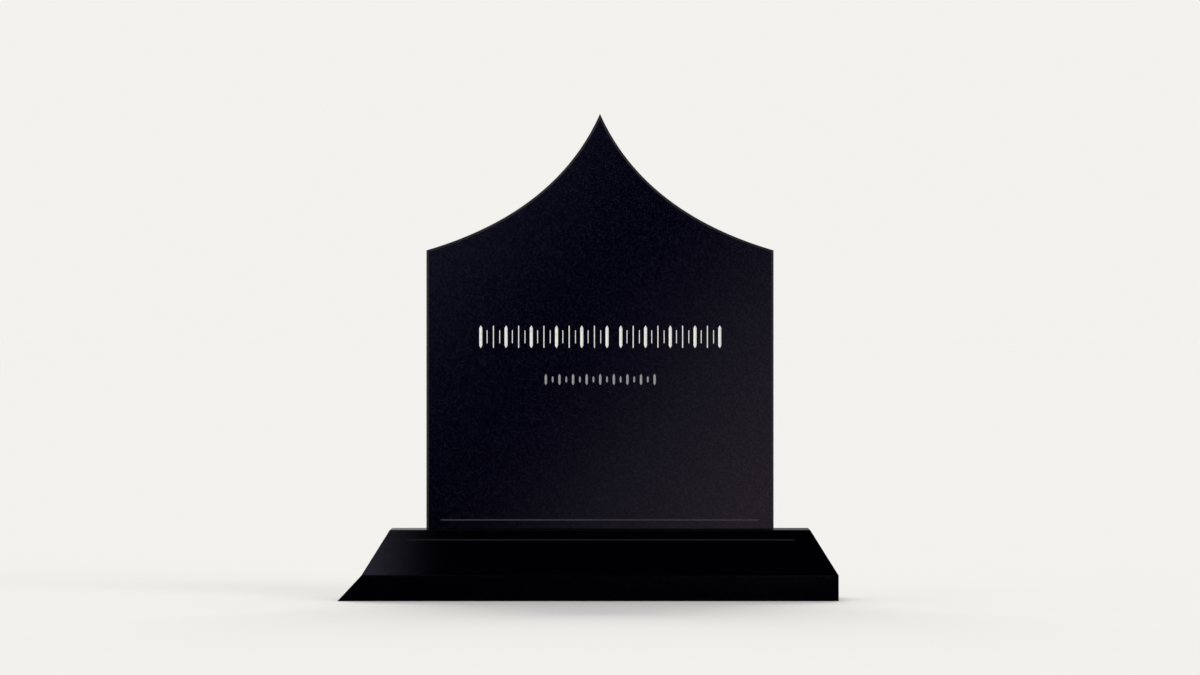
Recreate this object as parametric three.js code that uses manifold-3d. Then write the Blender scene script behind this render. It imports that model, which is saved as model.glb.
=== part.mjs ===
// A headstone of polished black granite, in two stones: a tablet with a swept, pointed top,
// and the bevelled base that it stands on. Millimetres, +Z up, the front face towards -Y.
// The origin is on the ground, under the middle of the tablet.

import * as THREE from "three";
import { ConvexGeometry } from "three/addons/geometries/ConvexGeometry.js";
import { mergeVertices } from "three/addons/utils/BufferGeometryUtils.js";
import Module from "manifold-3d";

const wasm = await Module();
wasm.setup();

// Tablet. Its heights are above its own foot.
const TABLET_WIDTH = 610;
const TABLET_THICKNESS = 76;
const SHOULDER_HEIGHT = 490;
const PEAK_HEIGHT = 730;
const SWEEP_HALF_WIDTH = 77; // where the tangents of the peak and of the shoulder cross
const SWEEP_HEIGHT = 557;
const SWEEP_STEPS = 28; // straight steps in each half of the top
const TABLET_ARRIS = 4; // flat chamfer round the sides and the top

// Base. The upper part is battered on all four sides, over an upright band.
const BASE_WIDTH = 834;
const BASE_DEPTH = 305;
const BAND_HEIGHT = 45;
const BEVEL_HEIGHT = 79;
const BEVEL_RUN = 49;
const TOE = 42; // how far the band splays out at the left end

// Hairlines: one low on the tablet's face, one high on the base's front bevel.
const TABLET_LINE = { length: 564, width: 2, depth: 1, height: 16.5 };
const BASE_LINE = { length: 686, width: 3.4, depth: 1.2, drop: 17.5 };
const LINE_TAPER = 6; // length of each pointed end

// The inscription's place: two rows of upright V-cut strokes, the upper row in two words. A
// word is a line of tall strokes, whose widths take turns, with a short one at mid-height in
// each space between them.
const UPPER_ROW = {
  foot: 318,
  height: 40,
  words: [
    { left: -212, right: 15, spaces: 10 },
    { left: 34, right: 213, spaces: 8 },
  ],
  tallWidths: [5.2, 1.7],
  shortWidth: 1.4,
};
const LOWER_ROW = {
  foot: 253,
  height: 20,
  words: [{ left: -97, right: 98, spaces: 8 }],
  tallWidths: [4],
  shortWidth: 3,
};
const SHORT_SHARE = 0.6; // length of a short stroke, as a share of the row's height
const DEPTH_SHARE = 0.36; // depth of a stroke, as a share of its width
const POINT_SHARE = 0.9; // length of a stroke's pointed end, as a share of its width
const PROUD = 1; // how far each cutter starts in front of the face
const SAME_POINT = 0.001; // corners closer than this are one corner

const GRANITE = { color: 0x0b0a12, roughness: 0.1, metalness: 0 };
const GRANITE_BASE = { color: 0x06050b, roughness: 0.1, metalness: 0 };

function toSolid(geometry) {
  const bare = geometry.clone();
  bare.deleteAttribute("normal");
  bare.deleteAttribute("uv");
  const merged = mergeVertices(bare);
  const vertProperties = new Float32Array(merged.attributes.position.array);
  const triVerts = new Uint32Array(merged.index.array);
  return new wasm.Manifold(new wasm.Mesh({ numProp: 3, vertProperties, triVerts }));
}

function toGeometry(solid) {
  const mesh = solid.getMesh();
  const geometry = new THREE.BufferGeometry();
  geometry.setAttribute("position", new THREE.BufferAttribute(mesh.vertProperties, 3));
  geometry.setIndex(new THREE.BufferAttribute(mesh.triVerts, 1));
  geometry.computeVertexNormals();
  return geometry;
}

function cutAll(solid, cutters) {
  return cutters.reduce((rest, cutter) => rest.subtract(toSolid(cutter)), solid);
}

// A V-cut stroke with pointed ends. It is centred on the origin and runs along Z, the stone's
// face is the plane y = 0, and the bottom of the V is a ridge at y = depth.
function strokeCutter({ width, length, depth, point }) {
  const half = length / 2;
  const ridge = half - point;
  const outline = [
    [0, half, ridge],
    [width / 2, ridge, ridge],
    [width / 2, -ridge, -ridge],
    [0, -half, -ridge],
    [-width / 2, -ridge, -ridge],
    [-width / 2, ridge, ridge],
  ];
  const spread = 1 + PROUD / depth;
  const rim = outline.map(
    ([x, z, ridgeEnd]) => new THREE.Vector3(x * spread, -PROUD, ridgeEnd + (z - ridgeEnd) * spread),
  );
  const bottom = [ridge, -ridge].map((z) => new THREE.Vector3(0, depth, z));
  return new ConvexGeometry([...rim, ...bottom]);
}

function lineCutter({ length, width, depth }) {
  return strokeCutter({ width, length, depth, point: LINE_TAPER }).rotateY(Math.PI / 2);
}

// The strokes of one row, as cutters on the plane y = 0.
function rowCutters({ foot, height, words, tallWidths, shortWidth }) {
  const middle = foot + height / 2;
  const stroke = (width, length, x) => {
    const size = { width, length, depth: width * DEPTH_SHARE, point: width * POINT_SHARE };
    return strokeCutter(size).translate(x, 0, middle);
  };
  const cutters = [];
  for (const { left, right, spaces } of words) {
    const first = left + tallWidths[0] / 2;
    const pitch = (right - left - tallWidths[0]) / spaces;
    for (let i = 0; i <= spaces; i++) {
      cutters.push(stroke(tallWidths[i % tallWidths.length], height, first + i * pitch));
    }
    for (let i = 0; i < spaces; i++) {
      cutters.push(stroke(shortWidth, height * SHORT_SHARE, first + (i + 0.5) * pitch));
    }
  }
  return cutters;
}

// The tablet's outline from the left foot over the peak to the right foot.
function tabletOutline() {
  const half = TABLET_WIDTH / 2;
  const sweep = new THREE.QuadraticBezierCurve(
    new THREE.Vector2(-half, SHOULDER_HEIGHT),
    new THREE.Vector2(-SWEEP_HALF_WIDTH, SWEEP_HEIGHT),
    new THREE.Vector2(0, PEAK_HEIGHT),
  );
  const left = [new THREE.Vector2(-half, 0), ...sweep.getPoints(SWEEP_STEPS)];
  const right = left.slice(0, -1).map((p) => new THREE.Vector2(-p.x, p.y));
  return [...left, ...right.reverse()];
}

// The same outline, moved in by the arris. The foot stays full height, because the chamfer
// runs straight down to it.
function insetOutline(points, inset) {
  const inward = (a, b) => new THREE.Vector2(b.y - a.y, a.x - b.x).normalize();
  return points.map((p, i) => {
    const before = i > 0 ? inward(points[i - 1], p) : inward(p, points[i + 1]);
    const after = i < points.length - 1 ? inward(p, points[i + 1]) : before;
    const mitre = before.clone().add(after).divideScalar(1 + before.dot(after));
    return p.clone().addScaledVector(mitre, inset);
  });
}

// A slab with chamfered edges: an extrusion in three steps, whose inner layers are moved to the
// depth of the chamfer and whose two faces take the inset outline.
function tabletBlank() {
  const outline = tabletOutline();
  const face = insetOutline(outline, TABLET_ARRIS);
  const depths = [0, TABLET_ARRIS, TABLET_THICKNESS - TABLET_ARRIS, TABLET_THICKNESS];
  const steps = depths.length - 1;
  const slab = new THREE.ExtrudeGeometry(new THREE.Shape(outline), {
    depth: TABLET_THICKNESS,
    steps,
    bevelEnabled: false,
  });
  const position = slab.attributes.position;
  const here = new THREE.Vector2();
  for (let i = 0; i < position.count; i++) {
    here.set(position.getX(i), position.getY(i));
    const corner = outline.findIndex((p) => p.distanceTo(here) < SAME_POINT);
    const layer = Math.round((position.getZ(i) / TABLET_THICKNESS) * steps);
    const ring = layer === 0 || layer === steps ? face : outline;
    position.setXYZ(i, ring[corner].x, ring[corner].y, depths[layer]);
  }
  slab.rotateX(Math.PI / 2);
  slab.translate(0, TABLET_THICKNESS / 2, 0);
  return slab;
}

function tabletGeometry() {
  const cutters = [UPPER_ROW, LOWER_ROW].flatMap(rowCutters);
  cutters.push(lineCutter(TABLET_LINE).translate(0, 0, TABLET_LINE.height));
  cutters.forEach((cutter) => cutter.translate(0, -TABLET_THICKNESS / 2, 0));
  return toGeometry(cutAll(toSolid(tabletBlank()), cutters));
}

// What the bevel takes off the front of the block, above the band: a prism along X, which
// runs past the block at the top, in front and at both ends.
function bevelWedge() {
  const past = 1.5;
  const length = past * (BASE_WIDTH + TOE);
  const section = new THREE.Shape([
    new THREE.Vector2(0, 0),
    new THREE.Vector2(past * BEVEL_RUN, past * BEVEL_HEIGHT),
    new THREE.Vector2(-BEVEL_RUN, past * BEVEL_HEIGHT),
    new THREE.Vector2(-BEVEL_RUN, 0),
  ]);
  const wedge = new THREE.ExtrudeGeometry(section, { depth: length, bevelEnabled: false });
  wedge.rotateX(Math.PI / 2);
  wedge.rotateZ(Math.PI / 2);
  return wedge.translate(-length / 2, -BASE_DEPTH / 2, BAND_HEIGHT);
}

function baseGeometry() {
  const half = BASE_WIDTH / 2;
  const top = BAND_HEIGHT + BEVEL_HEIGHT;
  const elevation = new THREE.Shape([
    new THREE.Vector2(-half - TOE, 0),
    new THREE.Vector2(half, 0),
    new THREE.Vector2(half, BAND_HEIGHT),
    new THREE.Vector2(half - BEVEL_RUN, top),
    new THREE.Vector2(-half + BEVEL_RUN, top),
    new THREE.Vector2(-half, BAND_HEIGHT),
  ]);
  const block = new THREE.ExtrudeGeometry(elevation, { depth: BASE_DEPTH, bevelEnabled: false });
  block.rotateX(Math.PI / 2);
  block.translate(0, BASE_DEPTH / 2, 0);

  const line = lineCutter(BASE_LINE);
  line.rotateX(-Math.atan2(BEVEL_RUN, BEVEL_HEIGHT));
  const setBack = BEVEL_RUN * (1 - BASE_LINE.drop / BEVEL_HEIGHT);
  line.translate(0, setBack - BASE_DEPTH / 2, top - BASE_LINE.drop);

  const cutters = [bevelWedge(), bevelWedge().rotateZ(Math.PI), line];
  return toGeometry(cutAll(toSolid(block), cutters));
}

function stone(name, geometry, look) {
  const mesh = new THREE.Mesh(geometry, new THREE.MeshStandardMaterial(look));
  mesh.name = name;
  return mesh;
}

const base = stone("base", baseGeometry(), GRANITE_BASE);
const tablet = stone("tablet", tabletGeometry(), GRANITE);
tablet.position.z = BAND_HEIGHT + BEVEL_HEIGHT;

const headstone = new THREE.Group();
headstone.add(base, tablet);

export default headstone;
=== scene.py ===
"""A peaked headstone of polished black granite on its bevelled base, dressed for the camera."""

from math import atan2, cos, pi, radians, sin

import bmesh
import bpy
from mathutils import Matrix, Vector


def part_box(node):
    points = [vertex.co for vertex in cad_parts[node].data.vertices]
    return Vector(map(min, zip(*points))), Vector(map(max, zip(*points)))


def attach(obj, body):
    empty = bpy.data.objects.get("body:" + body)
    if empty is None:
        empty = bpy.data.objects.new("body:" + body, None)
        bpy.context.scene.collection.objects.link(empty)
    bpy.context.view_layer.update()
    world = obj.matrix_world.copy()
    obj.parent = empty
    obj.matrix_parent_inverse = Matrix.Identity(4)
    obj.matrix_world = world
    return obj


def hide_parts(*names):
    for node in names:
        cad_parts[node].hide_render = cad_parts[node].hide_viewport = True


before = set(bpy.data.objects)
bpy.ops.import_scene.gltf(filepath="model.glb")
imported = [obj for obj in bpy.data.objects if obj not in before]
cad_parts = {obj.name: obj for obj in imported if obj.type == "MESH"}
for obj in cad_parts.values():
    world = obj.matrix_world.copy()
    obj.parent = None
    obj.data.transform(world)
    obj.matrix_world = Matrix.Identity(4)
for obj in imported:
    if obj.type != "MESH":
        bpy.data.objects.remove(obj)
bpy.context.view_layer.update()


# The base is one block of black granite, sawn square and polished on every face that shows: an
# upright band below, and above it a batter on all four sides. It lies on the ground by its own
# weight. Its band splays out at the left end, and a frosted hairline runs along the front batter;
# the hairline's cut is real, and its frost colour is a painted highlight.

BASE_LOW, BASE_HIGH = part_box("base")
BAND_HEIGHT = 0.045
BATTER_RUN = 0.049
BASE_ARRIS = 0.0010
BASE_LINE_LENGTH = 0.686
BASE_LINE_WIDTH = 0.0034
BASE_LINE_DEPTH = 0.0012
BASE_LINE_DROP = 0.0175
LINE_TAPER = 0.006

BASE_GROUND = (0.0001, 0.0001, 0.0009)
BASE_FELDSPAR = (0.0014, 0.0014, 0.0024)
SAWN_GROUND = (0.008, 0.008, 0.011)
SAWN_FELDSPAR = (0.045, 0.045, 0.050)
# Painted highlight: the base hairline's frost colour gives it a dim glint line.
BASE_FROST_HIGHLIGHT = (0.0070, 0.0066, 0.0100)
ORE_COLOUR = (0.090, 0.087, 0.092)
POLISH_ROUGHNESS = 0.07
SAWN_ROUGHNESS = 0.6
SAWN_RELIEF = 0.0004
FROST_ROUGHNESS = 0.7
GRANITE_IOR = 1.5

LATHS_PER_METRE = 850.0
LATH_STRETCH = (1.0, 1.0, 2.2)
LATH_TURNS = [(0.4, 0.5, 0.0), (0.9, 1.7, 0.6), (0.2, 2.6, 1.1)]
LATH_SHARE = 0.16
ORE_PER_METRE = 900.0
ORE_SHARE = 0.10
CRYSTAL_WAVER = 0.0008
WAVES_PER_METRE = 600.0
CLOUDS_PER_METRE = 9.0
SAW_MARKS_PER_METRE = 700.0
SPARKLES_PER_METRE = 900.0
LATH_DULLNESS = 0.03
CLOUD_DULLNESS = 0.02
FROST_SHADE = 0.7

ARRIS_SEGMENTS = 3
CUTTER_PROUD = 0.001
CREASE_ANGLE = radians(20)
FLAT_ANGLE = radians(0.6)
FLAT_AREA_RATIO = 6
DOWNWARD = -0.99


class Wire:
    """A socket in a node tree. Sums, differences and products of wires are Math nodes."""

    def __init__(self, shade, socket):
        self.shade = shade
        self.socket = socket

    def math(self, operation, *values):
        return self.shade.node("ShaderNodeMath", {"operation": operation}, dict(enumerate(values)))

    def __add__(self, other):
        return self.math("ADD", self, other)

    def __sub__(self, other):
        return self.math("SUBTRACT", self, other)

    def __rsub__(self, other):
        return self.math("SUBTRACT", other, self)

    def __mul__(self, other):
        return self.math("MULTIPLY", self, other)

    __radd__ = __add__
    __rmul__ = __mul__

    def size(self):
        return self.math("ABSOLUTE", self)

    def rise(self, start, end, low=0.0, high=1.0, kind="LINEAR"):
        """Runs from low, where this is start, to high, where it is end, and stays there."""
        span = {"From Min": start, "From Max": end, "To Min": low, "To Max": high}
        settings = {"interpolation_type": kind}
        return self.shade.node("ShaderNodeMapRange", settings, {"Value": self, **span})

    def eased(self, start, end, low=0.0, high=1.0):
        return self.rise(start, end, low, high, "SMOOTHSTEP")


class Shade:
    """A node tree that is being wired up."""

    def __init__(self, tree):
        self.tree = tree
        tree.nodes.clear()

    def node(self, kind, settings=None, inputs=None, out=0):
        """Adds a node: its settings first, then its sockets' values or wires."""
        made = self.tree.nodes.new(kind)
        for key, value in (settings or {}).items():
            if key == "stops":
                for stop in value[2:]:
                    made.color_ramp.elements.new(stop[0])
                for element, (at, colour) in zip(made.color_ramp.elements, value):
                    element.position = at
                    element.color = (*colour, 1)
            else:
                setattr(made, key, value)
        for key, value in (inputs or {}).items():
            socket = self.pick(made.inputs, key)
            if isinstance(value, Wire):
                self.tree.links.new(value.socket, socket)
            elif socket.type == "RGBA":
                socket.default_value = (*value, 1)
            else:
                socket.default_value = value
        return Wire(self, self.pick(made.outputs, out)) if made.outputs else None

    def pick(self, sockets, key):
        """A socket by its number or, among those in use, by its name."""
        if isinstance(key, int):
            return sockets[key]
        return next(socket for socket in sockets if socket.enabled and socket.name == key)

    def blend(self, amount, first, second):
        """The colour first where amount is 0, and second where it is 1."""
        inputs = {"Factor": amount, "A": first, "B": second}
        return self.node("ShaderNodeMix", {"data_type": "RGBA"}, inputs, out="Result")


def material(name):
    made = bpy.data.materials.new(name)
    made.use_nodes = True
    return made, Shade(made.node_tree)


def granite(name, ground, feldspar, roughness, relief=0.0):
    """Black granite: a near-black ground, paler feldspar laths, and ore grains that shine."""
    made, shade = material(name)
    place = shade.node("ShaderNodeTexCoord", out="Object")
    waver_in = {"Vector": place, "Scale": WAVES_PER_METRE, "Detail": 2.0}
    waver = shade.node("ShaderNodeTexNoise", inputs=waver_in, out="Color")
    shift = {0: waver, 1: [CRYSTAL_WAVER] * 3, 2: place}
    crooked = shade.node("ShaderNodeVectorMath", {"operation": "MULTIPLY_ADD"}, shift)

    def crystals(where, per_metre, share):
        """Rises to 1 in the palest of the crystals, and is 0 in all but the given share."""
        cells = {"Vector": where, "Scale": per_metre}
        tint = shade.node("ShaderNodeTexVoronoi", {"feature": "F1"}, cells, out="Color")
        value = shade.node("ShaderNodeSeparateColor", inputs={"Color": tint}, out="Red")
        return value.rise(1 - share, 1.0)

    pale = 0
    for turn in LATH_TURNS:
        stretch = {"Vector": crooked, "Rotation": turn, "Scale": LATH_STRETCH}
        laid = shade.node("ShaderNodeMapping", {"vector_type": "TEXTURE"}, stretch)
        pale = crystals(laid, LATHS_PER_METRE, LATH_SHARE) + pale
    ore = crystals(crooked, ORE_PER_METRE, ORE_SHARE)
    ore = ore.math("GREATER_THAN", ore, 0)
    colour = shade.blend(ore, shade.blend(pale, ground, feldspar), ORE_COLOUR)
    cloud_in = {"Vector": place, "Scale": CLOUDS_PER_METRE, "Detail": 3.0}
    cloud = shade.node("ShaderNodeTexNoise", inputs=cloud_in, out="Fac")
    dullness = roughness + LATH_DULLNESS * pale + CLOUD_DULLNESS * cloud
    inputs = {"Base Color": colour, "Metallic": ore, "Roughness": dullness, "IOR": GRANITE_IOR}
    if relief:
        marks_in = {"Vector": place, "Scale": SAW_MARKS_PER_METRE, "Detail": 4.0}
        marks = shade.node("ShaderNodeTexNoise", inputs=marks_in, out="Fac")
        bump_in = {"Height": marks, "Distance": relief, "Strength": 1.0}
        inputs["Normal"] = shade.node("ShaderNodeBump", inputs=bump_in)
    surface = shade.node("ShaderNodeBsdfPrincipled", inputs=inputs)
    shade.node("ShaderNodeOutputMaterial", inputs={"Surface": surface})
    return made


def frost_and_highlight(name, colour):
    """The stone where it is cut and left without polish, as in a hairline; its colour is a painted
    highlight.
    """
    made, shade = material(name)
    place = shade.node("ShaderNodeTexCoord", out="Object")
    sparkle_in = {"Vector": place, "Scale": SPARKLES_PER_METRE, "Detail": 2.0}
    sparkle = shade.node("ShaderNodeTexNoise", inputs=sparkle_in, out="Fac")
    shaded = [FROST_SHADE * c for c in colour]
    inputs = {"Base Color": shade.blend(sparkle, shaded, colour), "Roughness": FROST_ROUGHNESS}
    surface = shade.node("ShaderNodeBsdfPrincipled", inputs=inputs)
    shade.node("ShaderNodeOutputMaterial", inputs={"Surface": surface})
    return made


def stand(name, block, *finishes):
    """The block's mesh as an object in the scene."""
    bmesh.ops.recalc_face_normals(block, faces=block.faces)
    mesh = bpy.data.meshes.new(name)
    block.to_mesh(mesh)
    block.free()
    for finish in finishes:
        mesh.materials.append(finish)
    made = bpy.data.objects.new(name, mesh)
    bpy.context.scene.collection.objects.link(made)
    return made


def crease(block):
    """Smooth shading, but for hard edges and for the rims of flat faces."""
    for face in block.faces:
        face.smooth = True
    for edge in block.edges:
        angle = edge.calc_face_angle(pi)
        small, large = sorted(face.calc_area() for face in edge.link_faces)
        rim = angle > FLAT_ANGLE and large > FLAT_AREA_RATIO * small
        edge.smooth = not (angle > CREASE_ANGLE or rim)


def v_cutter(block, width, length, depth, point, place):
    """Adds a V-cut stroke with pointed ends, along Z and into +Y before it is placed."""
    half = length / 2
    ridge = half - point
    rim = [(0, half), (width / 2, ridge), (width / 2, -ridge)]
    rim += [(-x, -z) for x, z in rim]
    spread = 1 + CUTTER_PROUD / depth
    corners = []
    for x, z in rim:
        end = ridge if z > 0 else -ridge
        corner = Vector((x * spread, -CUTTER_PROUD, end + (z - end) * spread))
        corners.append(block.verts.new(place @ corner))
    high = block.verts.new(place @ Vector((0, depth, ridge)))
    low = block.verts.new(place @ Vector((0, depth, -ridge)))
    top, right_high, right_low, bottom, left_low, left_high = corners
    block.faces.new(corners)
    block.faces.new((right_high, high, low, right_low))
    block.faces.new((left_low, low, high, left_high))
    block.faces.new((top, high, right_high))
    block.faces.new((left_high, high, top))
    block.faces.new((right_low, low, bottom))
    block.faces.new((bottom, low, left_low))


def carve(stone, cutters, finish):
    """Cuts all the cutters out of the stone; the cut faces take the finish."""
    tool = stand("tool", cutters, finish)
    cut = stone.modifiers.new("cut", "BOOLEAN")
    cut.operation = "DIFFERENCE"
    cut.solver = "EXACT"
    cut.material_mode = "TRANSFER"
    cut.object = tool
    graph = bpy.context.evaluated_depsgraph_get()
    carved = bpy.data.meshes.new_from_object(stone.evaluated_get(graph))
    stone.modifiers.remove(cut)
    stone.data = carved
    bpy.data.objects.remove(tool)
    block = bmesh.new()
    block.from_mesh(carved)
    crease(block)
    block.to_mesh(carved)
    block.free()


def base_block():
    """The block with its batter, arrises eased all round, its underside left sawn."""
    right = BASE_HIGH.x
    back = BASE_HIGH.y
    courses = [
        (BASE_LOW.x, right, back, 0.0),
        (-right, right, back, BAND_HEIGHT),
        (BATTER_RUN - right, right - BATTER_RUN, back - BATTER_RUN, BASE_HIGH.z),
    ]
    block = bmesh.new()
    rings = []
    for x0, x1, y, z in courses:
        corners = [(x0, -y, z), (x1, -y, z), (x1, y, z), (x0, y, z)]
        rings.append([block.verts.new(corner) for corner in corners])
    for below, above in zip(rings, rings[1:]):
        for i in range(4):
            j = (i + 1) % 4
            block.faces.new((below[i], below[j], above[j], above[i]))
    block.faces.new(rings[0][::-1])
    block.faces.new(rings[-1])
    bmesh.ops.bevel(
        block,
        geom=block.edges[:],
        affect="EDGES",
        offset=BASE_ARRIS,
        segments=ARRIS_SEGMENTS,
        profile=0.5,
        clamp_overlap=True,
    )
    for face in block.faces:
        face.material_index = 1 if face.normal.z < DOWNWARD else 0
    crease(block)
    return block


base_polish = granite("base_polish", BASE_GROUND, BASE_FELDSPAR, POLISH_ROUGHNESS)
sawn = granite("sawn", SAWN_GROUND, SAWN_FELDSPAR, SAWN_ROUGHNESS, SAWN_RELIEF)

base = stand("base_stone", base_block(), base_polish, sawn)

batter_slope = atan2(BATTER_RUN, BASE_HIGH.z - BAND_HEIGHT)
line_back = BATTER_RUN * (1 - BASE_LINE_DROP / (BASE_HIGH.z - BAND_HEIGHT))
line_place = Vector((0, BASE_LOW.y + line_back, BASE_HIGH.z - BASE_LINE_DROP))
along_batter = Matrix.Rotation(-batter_slope, 4, "X") @ Matrix.Rotation(pi / 2, 4, "Y")
line_cut = bmesh.new()
v_cutter(
    line_cut,
    BASE_LINE_WIDTH,
    BASE_LINE_LENGTH,
    BASE_LINE_DEPTH,
    LINE_TAPER,
    Matrix.Translation(line_place) @ along_batter,
)
# The hairline's frosted colour is a painted highlight line.
carve(base, line_cut, frost_and_highlight("base_frost_highlight", BASE_FROST_HIGHLIGHT))

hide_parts("base")
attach(base, "root")


# The tablet is one slab of the same granite, polished on all its faces. Its top is swept up in
# two hollow curves to a point, and a flat chamfer runs round its sides and top, front and back.
# It stands on the base by its own weight, on a foot whose edge is only just eased.

TABLET_LOW, TABLET_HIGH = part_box("tablet")
SHOULDER_HEIGHT = 0.490
SWEEP_HALF_WIDTH = 0.077
SWEEP_HEIGHT = 0.557
SHOULDER = Vector((TABLET_LOW.x, TABLET_LOW.z + SHOULDER_HEIGHT))
SWEEP = Vector((-SWEEP_HALF_WIDTH, TABLET_LOW.z + SWEEP_HEIGHT))
PEAK = Vector((0, TABLET_HIGH.z))
SWEEP_STEPS = 72
TABLET_ARRIS = 0.004
ARRIS_EASE = 0.0006
EASE_STEPS = 3
FOOT_SHARE = 0.25
HALVINGS = 40

TABLET_GROUND = (0.0003, 0.0002, 0.0042)
TABLET_FELDSPAR = (0.0072, 0.0070, 0.0125)
HONED_GROUND = (0.0042, 0.0040, 0.0062)
HONED_FELDSPAR = (0.012, 0.012, 0.014)
HONED_ROUGHNESS = 0.22


def sweep_point(t, inset):
    """A point of the left half of the top, from the shoulder to the peak, moved in."""
    point = SHOULDER * (1 - t) ** 2 + SWEEP * 2 * t * (1 - t) + PEAK * t**2
    along = ((SWEEP - SHOULDER) * (1 - t) + (PEAK - SWEEP) * t).normalized()
    return point + inset * Vector((along.y, -along.x))


def sweep_reaches(x, inset):
    """Where along the sweep it crosses the upright line at x."""
    low, high = 0.0, 1.0
    for _ in range(HALVINGS):
        t = (low + high) / 2
        if sweep_point(t, inset).x < x:
            low = t
        else:
            high = t
    return low


def tablet_ring(inset, y):
    """The tablet's outline in elevation, moved in by inset, at one depth."""
    side = SHOULDER.x + inset
    start = sweep_reaches(side, inset)
    end = sweep_reaches(0.0, inset)
    left = [Vector((side, TABLET_LOW.z + FOOT_SHARE * inset))]
    for i in range(SWEEP_STEPS + 1):
        left.append(sweep_point(start + (end - start) * i / SWEEP_STEPS, inset))
    left[-1].x = 0
    right = [Vector((-p.x, p.y)) for p in left[-2::-1]]
    return [(p.x, y, p.y) for p in left + right]


def eased_corner(before, corner, after):
    """Points of a small round from before to after, about the corner."""
    points = []
    for i in range(EASE_STEPS + 1):
        s = i / EASE_STEPS
        points.append(before * (1 - s) ** 2 + corner * 2 * s * (1 - s) + after * s**2)
    return points


def arris_profile():
    """(inset, depth) pairs from the face, over the chamfer, to the side."""
    face_edge = Vector((TABLET_ARRIS, 0))
    side_edge = Vector((0, TABLET_ARRIS))
    slant = (side_edge - face_edge).normalized() * ARRIS_EASE
    on_face = face_edge + Vector((ARRIS_EASE, 0))
    on_side = side_edge + Vector((0, ARRIS_EASE))
    first = eased_corner(on_face, face_edge, face_edge + slant)
    return first + eased_corner(side_edge - slant, side_edge, on_side)


def tablet_block():
    """The slab, lofted from its front face to its back over both chamfers."""
    front = [(inset, TABLET_LOW.y + depth) for inset, depth in arris_profile()]
    back = [(inset, -y) for inset, y in front[::-1]]
    block = bmesh.new()
    rings = []
    for inset, y in front + back:
        rings.append([block.verts.new(corner) for corner in tablet_ring(inset, y)])
    block.faces.new(rings[0])
    block.faces.new(rings[-1][::-1])
    middle = len(front) - 1
    count = len(rings[0])
    for k, (near, far) in enumerate(zip(rings, rings[1:])):
        for i in range(count):
            j = (i + 1) % count
            face = block.faces.new((near[j], near[i], far[i], far[j]))
            on_foot = i == count - 1
            face.material_index = 2 if on_foot else int(k != middle)
    crease(block)
    return block


tablet_polish = granite("tablet_polish", TABLET_GROUND, TABLET_FELDSPAR, POLISH_ROUGHNESS)
honed = granite("honed_arris", HONED_GROUND, HONED_FELDSPAR, HONED_ROUGHNESS)
tablet = stand("tablet_stone", tablet_block(), tablet_polish, honed, sawn)


# The inscription's place holds two rows of plain upright strokes, V-cut into the face with a
# chisel and painted: the upper row large, in two words, in cream enamel, the lower row small,
# in grey. A word is a line of tall strokes with a short one in each space.

UPPER_ROW = {
    "foot": 0.318,
    "height": 0.040,
    "words": [(-0.212, 0.015, 10), (0.034, 0.213, 8)],
    "tall_widths": [0.0052, 0.0017],
    "short_width": 0.0014,
}
LOWER_ROW = {
    "foot": 0.253,
    "height": 0.020,
    "words": [(-0.097, 0.098, 8)],
    "tall_widths": [0.0040],
    "short_width": 0.0030,
}
SHORT_SHARE = 0.6
DEPTH_SHARE = 0.36
POINT_SHARE = 0.9

CREAM = (0.89, 0.88, 0.85)
GREY = (0.37, 0.36, 0.365)
BRUSH_MARKS_PER_METRE = 260.0
THIN_PAINT = 0.86
THIN_TO_FULL = (0.35, 0.6)
PAINT_ROUGHNESS = 0.32
BRUSH_DULLNESS = 0.2


def enamel(name, colour):
    """Brushed-in enamel: a little uneven in colour and gloss."""
    made, shade = material(name)
    place = shade.node("ShaderNodeTexCoord", out="Object")
    brush_in = {"Vector": place, "Scale": BRUSH_MARKS_PER_METRE, "Detail": 3.0}
    brush = shade.node("ShaderNodeTexNoise", inputs=brush_in, out="Fac")
    thin = [THIN_PAINT * c for c in colour]
    paint = shade.blend(brush.eased(*THIN_TO_FULL), thin, colour)
    inputs = {"Base Color": paint, "Roughness": PAINT_ROUGHNESS + BRUSH_DULLNESS * brush}
    surface = shade.node("ShaderNodeBsdfPrincipled", inputs=inputs)
    shade.node("ShaderNodeOutputMaterial", inputs={"Surface": surface})
    return made


def row_cutters(row):
    block = bmesh.new()
    middle = TABLET_LOW.z + row["foot"] + row["height"] / 2

    def stroke(width, length, x):
        place = Matrix.Translation((x, TABLET_LOW.y, middle))
        v_cutter(block, width, length, width * DEPTH_SHARE, width * POINT_SHARE, place)

    widths = row["tall_widths"]
    for left, right, spaces in row["words"]:
        first = left + widths[0] / 2
        pitch = (right - left - widths[0]) / spaces
        for i in range(spaces + 1):
            stroke(widths[i % len(widths)], row["height"], first + i * pitch)
        for i in range(spaces):
            stroke(row["short_width"], row["height"] * SHORT_SHARE, first + (i + 0.5) * pitch)
    return block


carve(tablet, row_cutters(UPPER_ROW), enamel("cream_enamel", CREAM))
carve(tablet, row_cutters(LOWER_ROW), enamel("grey_enamel", GREY))


# A frosted hairline is cut low on the tablet's face, as wide as the face less a margin. It
# comes to a short point at both ends. The cut is real; its pale frost colour is a painted
# highlight.

TABLET_LINE_LENGTH = 0.564
TABLET_LINE_WIDTH = 0.0020
TABLET_LINE_DEPTH = 0.001
TABLET_LINE_HEIGHT = 0.0165
# Painted highlight: the tablet hairline's pale frost colour gives it a glint line.
TABLET_FROST_HIGHLIGHT = (0.092, 0.087, 0.113)

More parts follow.
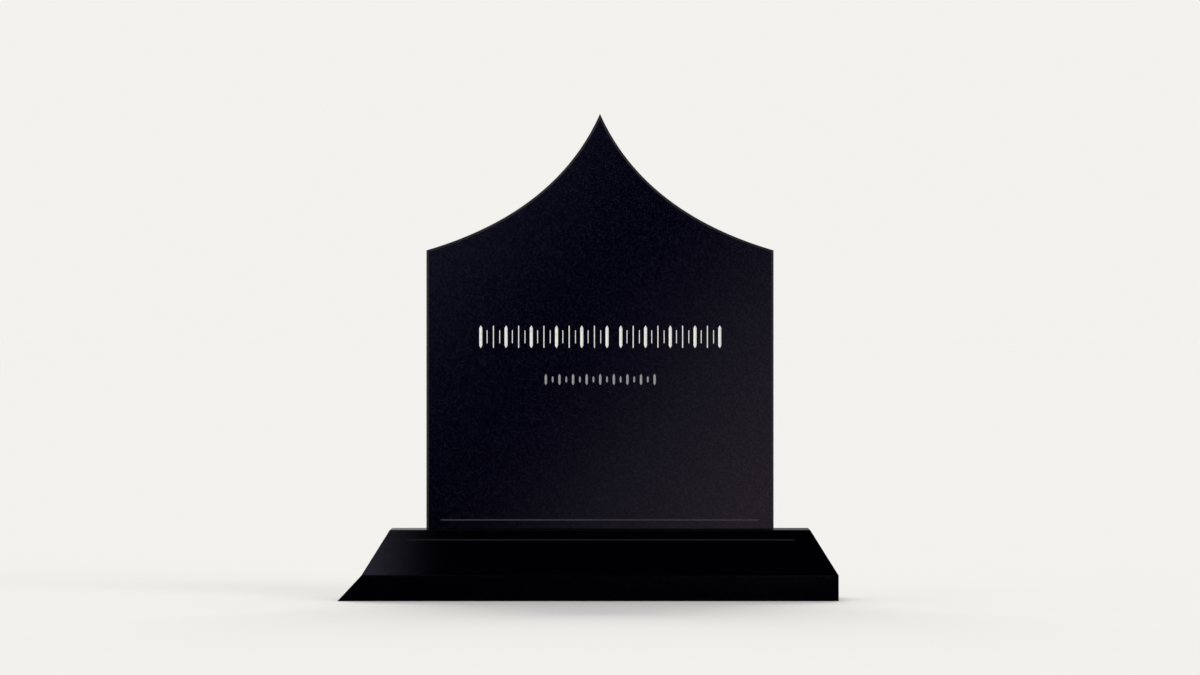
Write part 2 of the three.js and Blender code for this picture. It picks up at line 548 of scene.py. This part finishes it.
line_cut = bmesh.new()
v_cutter(
    line_cut,
    TABLET_LINE_WIDTH,
    TABLET_LINE_LENGTH,
    TABLET_LINE_DEPTH,
    LINE_TAPER,
    Matrix.Translation((0, TABLET_LOW.y, TABLET_LOW.z + TABLET_LINE_HEIGHT))
    @ Matrix.Rotation(pi / 2, 4, "Y"),
)
carve(tablet, line_cut, frost_and_highlight("tablet_frost_highlight", TABLET_FROST_HIGHLIGHT))

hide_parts("tablet")
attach(tablet, "root")


# The studio: a plain pale floor, with a weak sun behind the stone, which lays the soft shadow in
# front of it, and a weaker one in front. Neither the floor nor the suns show in the polish. A
# sun's height is counted from the horizon behind the stone, and its turn is about the upright.

FLOOR_SIZE = 2000.0
FLOOR_COLOUR = (0.82, 0.81, 0.79)
SUN_COLOUR = (1.0, 0.98, 0.95)
SUNS = {
    "back_sun": {"strength": 1.31, "height": radians(18), "turn": 0, "spread": radians(36)},
    "front_sun": {"strength": 0.37, "height": radians(165), "turn": radians(30), "spread": radians(30)},
}

floor_block = bmesh.new()
bmesh.ops.create_grid(floor_block, x_segments=1, y_segments=1, size=FLOOR_SIZE / 2)
floor_finish, shade = material("floor")
matt = shade.node("ShaderNodeBsdfDiffuse", inputs={"Color": FLOOR_COLOUR})
shade.node("ShaderNodeOutputMaterial", inputs={"Surface": matt})
floor = stand("floor", floor_block, floor_finish)
floor.visible_glossy = False

sun_on_floor = 0
for name, given in SUNS.items():
    sun_data = bpy.data.lights.new(name, "SUN")
    sun_data.energy = given["strength"] * pi
    sun_data.color = SUN_COLOUR
    sun_data.angle = given["spread"]
    sun = bpy.data.objects.new(name, sun_data)
    bpy.context.scene.collection.objects.link(sun)
    sun.rotation_euler = (given["height"] - pi / 2, 0, given["turn"])
    sun.visible_glossy = False
    sun_on_floor += given["strength"] * sin(given["height"])


# What the polish reflects: a dark dome round the stone, and soft panels in front of the face,
# behind the back and over the base's left end. They show nowhere else and light nothing else.
# The fades are (start, end) or (start, end, low, high) of a direction's sine or a place in metres.

CAMERA_HEIGHT = 0.4607
CAMERA_DISTANCE = 20.0
FACE_Y = TABLET_LOW.y

ROOM_RADIUS = 3.0
ROOM_CENTRE = Vector((0, 0, 0.45))
ROOM_DIVISIONS = 6
ROOM_COLOUR = (0.96, 0.96, 1.0)
SKY_RISE = (0.0, 0.60)
ZENITH_FALL = (0.82, 1.0, 0.38, 0.20)
FLAG_ACROSS = (0.50, 0.18)
FLAG_FORWARD = (0.0, -0.35)
SIDES_REACH = (0.45, 1.0, 0.0, 0.42)
SIDES_FALL = (0.6, 0.0)
GROUND_RISE = (-0.17, -0.46, 0.0, 0.36)
SKY_LEAN_BACK = 0.4
ROOM_LEAN_BACK = 0.4
ROOM_LEAN_LEFT = 0.15

PANEL_DISTANCE = 2.0
PANEL_SIZE = (1.3, 1.1)
PANEL_MIDDLE = Vector((0, FACE_Y - PANEL_DISTANCE, 0.60))
PANEL_SCALE = 1 + PANEL_DISTANCE / CAMERA_DISTANCE
PANEL_EDGE_ACROSS = (0.62, 0.42)
PANEL_EDGE_UP = (0.55, 0.35)
DARKEST_X = 0.095
DARKEST_Z = 0.689
ACROSS = 0.789
DOWN = 0.615
COOL_END = -0.260
WARM_END = 0.475
FACE_TONES = [
    (0.0, (0.31, 0.31, 0.41)),
    (0.354, (0.03, 0.02, 0.09)),
    (0.670, (0.362, 0.345, 0.402)),
    (1.0, (0.63, 0.548, 0.608)),
]

BACK_SIZE = (1.8, 1.8)
BACK_MIDDLE = Vector((0, PANEL_DISTANCE - FACE_Y, 0.15))
BACK_COLOUR = (0.97, 0.96, 1.0)
BACK_ACROSS = 0.45
BACK_DOWN = 0.9
BACK_FADE = (-0.75, 0.75, 0.02, 0.42)
BACK_EDGE_ACROSS = (0.9, 0.55)
BACK_EDGE_UP = (0.9, 0.65)

SHEEN_DISTANCE = 1.2
SHEEN_SIZE = (0.172, 0.50)
SHEEN_FULL = 0.147
SHEEN_END = Vector((-0.272, -0.128, 0.085))
SHEEN_COLOUR = (1.04, 0.96, 1.36)
SHEEN_STRENGTH = 0.43


def only_reflected(thing):
    """Shows nowhere but in the polish."""
    thing.visible_camera = False
    thing.visible_diffuse = False
    thing.visible_shadow = False
    thing.visible_transmission = False


def glow(made, shade, colour, strength):
    light = shade.node("ShaderNodeEmission", inputs={"Color": colour, "Strength": strength})
    shade.node("ShaderNodeOutputMaterial", inputs={"Surface": light})
    made.cycles.emission_sampling = "NONE"


def split(shade, vector):
    """The three numbers of a vector."""
    return [
        shade.node("ShaderNodeSeparateXYZ", inputs={"Vector": vector}, out=axis) for axis in "XYZ"
    ]


def light_panel(name, width, height, middle, facing, finish):
    """A flat panel, its local X across and its local Z up, turned to face a point."""
    block = bmesh.new()
    bmesh.ops.create_grid(block, x_segments=1, y_segments=1, size=0.5)
    bmesh.ops.transform(block, matrix=Matrix.Rotation(pi / 2, 4, "X"), verts=block.verts)
    bmesh.ops.scale(block, vec=(width, 1, height), verts=block.verts)
    made = stand(name, block, finish)
    made.location = middle
    made.rotation_euler = (Vector(facing) - Vector(middle)).to_track_quat("Y", "Z").to_euler()
    only_reflected(made)


# The dome glows by direction: a sky, two sides and a ground, with a dark flag high in front.
room_block = bmesh.new()
bmesh.ops.create_icosphere(room_block, subdivisions=ROOM_DIVISIONS, radius=ROOM_RADIUS)
room_finish, shade = material("room")
place = shade.node("ShaderNodeTexCoord", out="Object")
outward = shade.node("ShaderNodeVectorMath", {"operation": "NORMALIZE"}, {0: place})
right, back, up = split(shade, outward)
flag = right.size().eased(*FLAG_ACROSS) * back.eased(*FLAG_FORWARD)
sky = up.eased(*SKY_RISE) * up.eased(*ZENITH_FALL) * (1 - flag) * (1 + SKY_LEAN_BACK * back)
sides = right.size().eased(*SIDES_REACH) * up.size().eased(*SIDES_FALL)
ground = up.eased(*GROUND_RISE)
lean = 1 + ROOM_LEAN_BACK * back - ROOM_LEAN_LEFT * right
glow(room_finish, shade, ROOM_COLOUR, (sky + sides + ground) * lean)
room = stand("room", room_block, room_finish)
room.location = ROOM_CENTRE
only_reflected(room)

# The front panel's tones run aslant, from cool over dark to warm, as they lie on the face.
front_finish, shade = material("front_panel")
place = shade.node("ShaderNodeTexCoord", out="Object")
across, _, height = split(shade, place)
face_x = across * (1 / PANEL_SCALE)
face_z = (height + (PANEL_MIDDLE.z - CAMERA_HEIGHT)) * (1 / PANEL_SCALE) + CAMERA_HEIGHT
along = (face_x - DARKEST_X) * ACROSS - (face_z - DARKEST_Z) * DOWN
aslant = along.rise(COOL_END, WARM_END)
tone = shade.node("ShaderNodeValToRGB", {"stops": FACE_TONES}, {0: aslant})
squared = shade.node("ShaderNodeVectorMath", {"operation": "MULTIPLY"}, {0: tone, 1: tone})
edge = across.size().eased(*PANEL_EDGE_ACROSS) * height.eased(*PANEL_EDGE_UP)
glow(front_finish, shade, squared, edge)
light_panel("front_panel", *PANEL_SIZE, PANEL_MIDDLE, (0, 0, PANEL_MIDDLE.z), front_finish)

# The back panel fades aslant too, so that the plain back isn't one flat tone.
back_finish, shade = material("back_panel")
place = shade.node("ShaderNodeTexCoord", out="Object")
across, _, height = split(shade, place)
fade = (BACK_ACROSS * across - BACK_DOWN * height).eased(*BACK_FADE)
edge = across.size().eased(*BACK_EDGE_ACROSS) * height.size().eased(*BACK_EDGE_UP)
glow(back_finish, shade, BACK_COLOUR, fade * edge)
light_panel("back_panel", *BACK_SIZE, BACK_MIDDLE, (0, 0, BACK_MIDDLE.z), back_finish)

# The sheen panel stands where the front batter mirrors it, seen level from the front.
batter_normal = Vector((0, -cos(batter_slope), sin(batter_slope)))
level = Vector((0, 1, 0))
off_batter = level - 2 * level.dot(batter_normal) * batter_normal
sheen_middle = SHEEN_END + SHEEN_DISTANCE * off_batter
sheen_middle.x *= 1 + SHEEN_DISTANCE / CAMERA_DISTANCE
sheen_middle.x -= SHEEN_SIZE[0] / 2
sheen_finish, shade = material("sheen_panel")
place = shade.node("ShaderNodeTexCoord", out="Object")
across, _, height = split(shade, place)
fade = (SHEEN_SIZE[0] / 2 - across) * (1 / SHEEN_FULL)
edge = height.size().eased(SHEEN_SIZE[1] / 2, SHEEN_SIZE[1] / 4)
glow(sheen_finish, shade, SHEEN_COLOUR, SHEEN_STRENGTH * fade * fade * edge)
light_panel("sheen_panel", *SHEEN_SIZE, sheen_middle, sheen_middle - off_batter, sheen_finish)


# The even light from all round, with a backdrop of the floor's own lit colour, and the camera,
# far off and level, so that the stone stands as in an elevation.

AMBIENT = (0.60, 0.60, 0.605)
FRAME_WIDTH = 2.108
SENSOR_WIDTH = 36.0

world = bpy.data.worlds.new("studio")
world.use_nodes = True
world.cycles.sampling_method = "NONE"
bpy.context.scene.world = world
shade = Shade(world.node_tree)
from_camera = shade.node("ShaderNodeLightPath", out="Is Camera Ray")
backdrop = [f * (a + sun_on_floor * s) for f, a, s in zip(FLOOR_COLOUR, AMBIENT, SUN_COLOUR)]
seen = shade.blend(from_camera, AMBIENT, backdrop)
light = shade.node("ShaderNodeBackground", inputs={"Color": seen})
shade.node("ShaderNodeOutputWorld", inputs={"Surface": light})

scene = bpy.context.scene
scene.view_settings.view_transform = "Standard"

camera_data = bpy.data.cameras.new("camera")
camera_data.sensor_width = SENSOR_WIDTH
camera_data.lens = SENSOR_WIDTH * CAMERA_DISTANCE / FRAME_WIDTH
camera_data.clip_end = 2 * FLOOR_SIZE
camera = bpy.data.objects.new("camera", camera_data)
camera.location = (0, FACE_Y - CAMERA_DISTANCE, CAMERA_HEIGHT)
camera.rotation_euler = (pi / 2, 0, 0)
scene.collection.objects.link(camera)
scene.camera = camera
